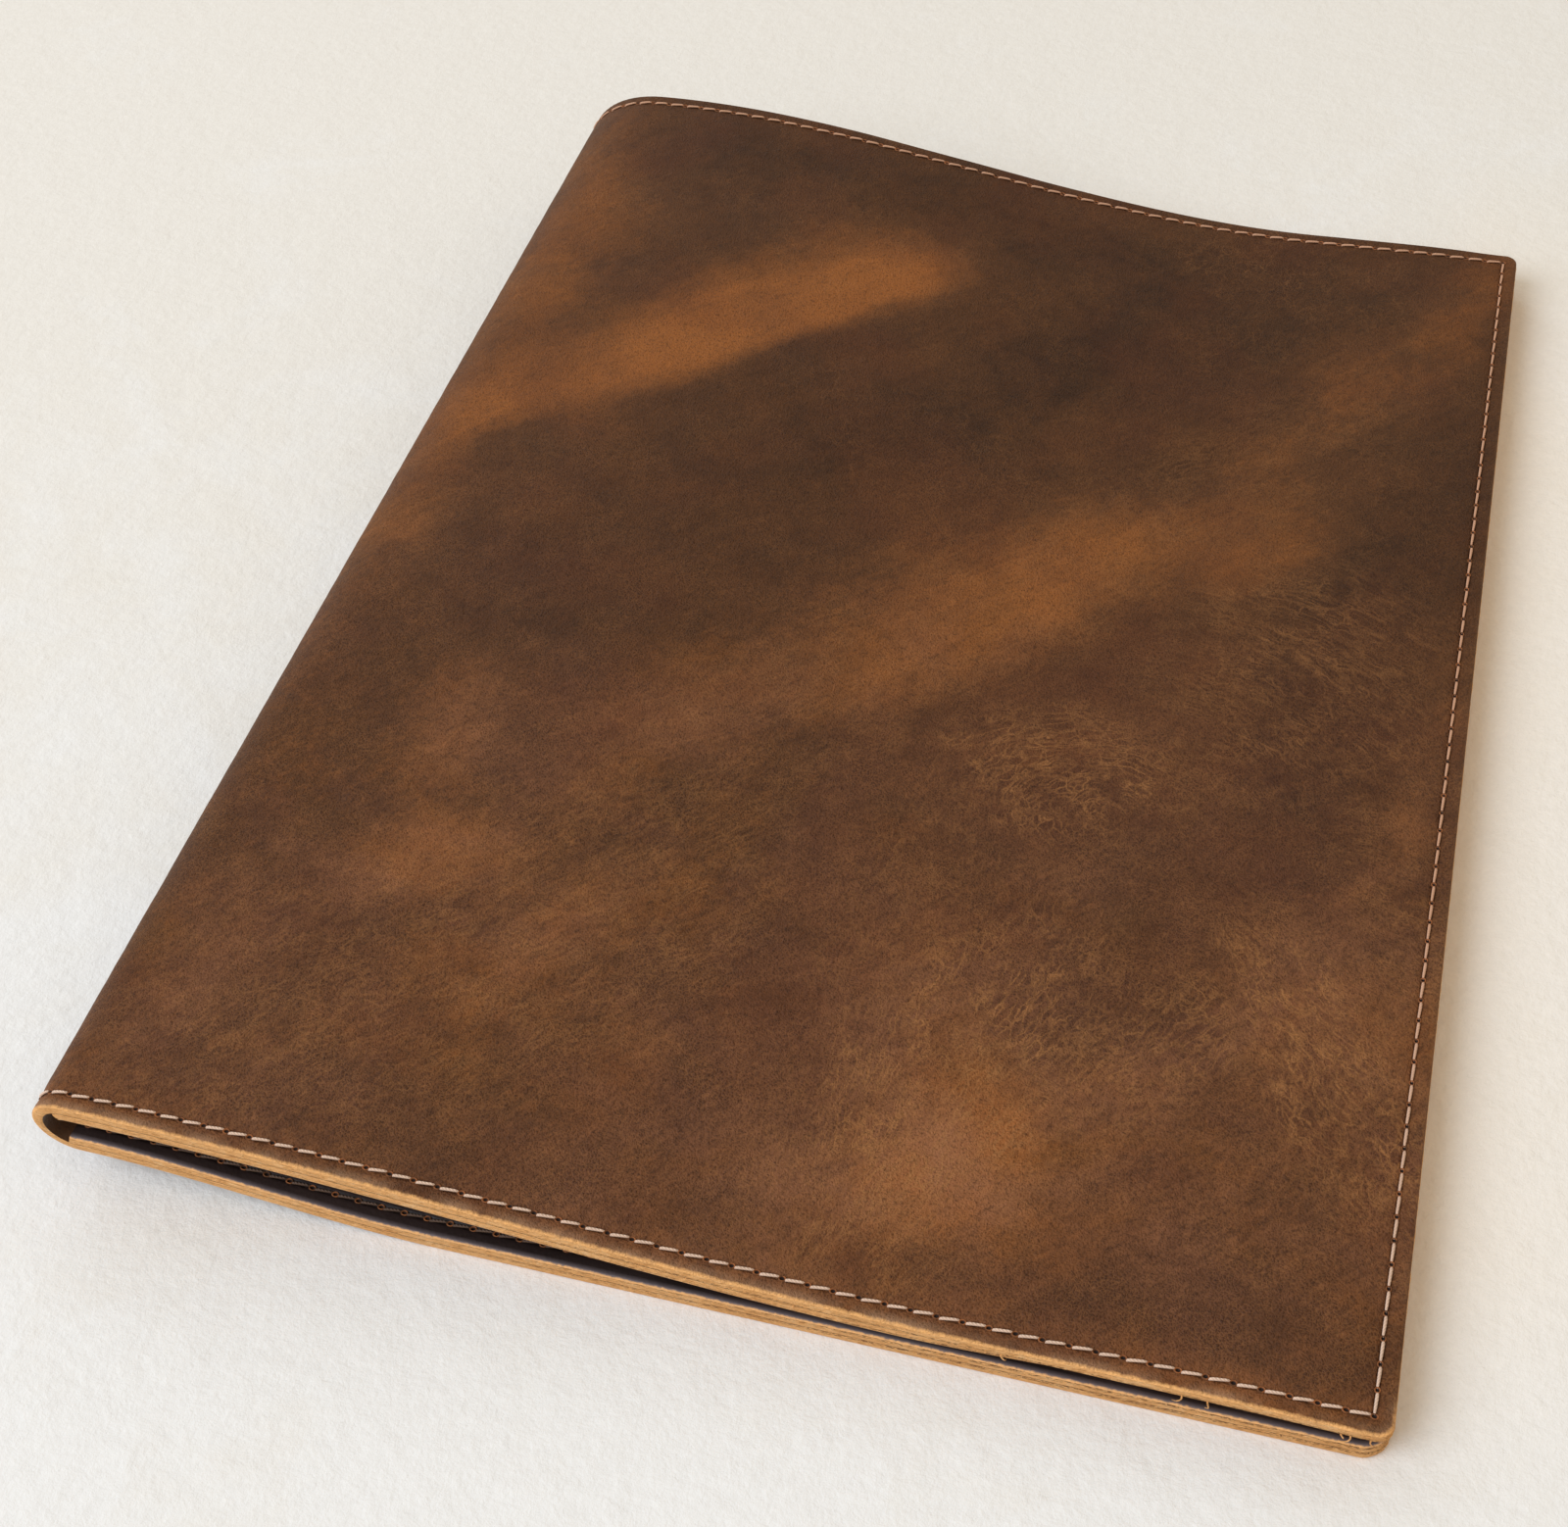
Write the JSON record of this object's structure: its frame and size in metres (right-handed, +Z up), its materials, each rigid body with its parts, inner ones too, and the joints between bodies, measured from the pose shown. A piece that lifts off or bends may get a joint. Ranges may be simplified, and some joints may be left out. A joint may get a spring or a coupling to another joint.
{
  "type": "folding desk mat folio",
  "caption": "Leather folio of stitched two-ply covers that opens at its loose fold into a desk mat and closes like a book.",
  "frame": {"origin": "middle of the closed folio's footprint, on the surface it lies on", "axes": "+X from the fold to the free edges, +Y along the fold, +Z up through the closed folio"},
  "size_m": [0.227, 0.296, 0.0324],
  "materials": {
    "cover_leather": "waxed pull-up leather, dark brown with paler creased patches",
    "panel_leather": "smooth dark brown leather",
    "seam_thread": "waxed pale thread"
  },
  "bodies": {
    "back": {"cover_back": "cover_leather", "inner_panel_back": "panel_leather", "thread_outside_back": "seam_thread", "thread_inside_back": "seam_thread"},
    "fold": {"cover_fold": "cover_leather", "thread_outside_fold": "seam_thread", "thread_inside_fold": "seam_thread"},
    "front": {"cover_front": "cover_leather", "inner_panel_front": "panel_leather", "thread_outside_front": "seam_thread", "thread_inside_front": "seam_thread"}
  },
  "joints": [
    {"name": "lower_crease", "type": "hinge", "parent": "back", "child": "fold", "pos_m": [-0.11008, 0, 0.00932], "axis": [-0.0121, -0.9999, -0.0071], "range_deg": [0, 92.1]},
    {"name": "upper_crease", "type": "hinge", "parent": "fold", "child": "front", "pos_m": [-0.11008, 0, 0.02388], "axis": [-0.0121, -0.9993, -0.0348], "range_deg": [0, 92.1]}
  ],
  "couplings": [
    {"joint": "lower_crease", "follows": "upper_crease", "ratio": 1}
  ]
}
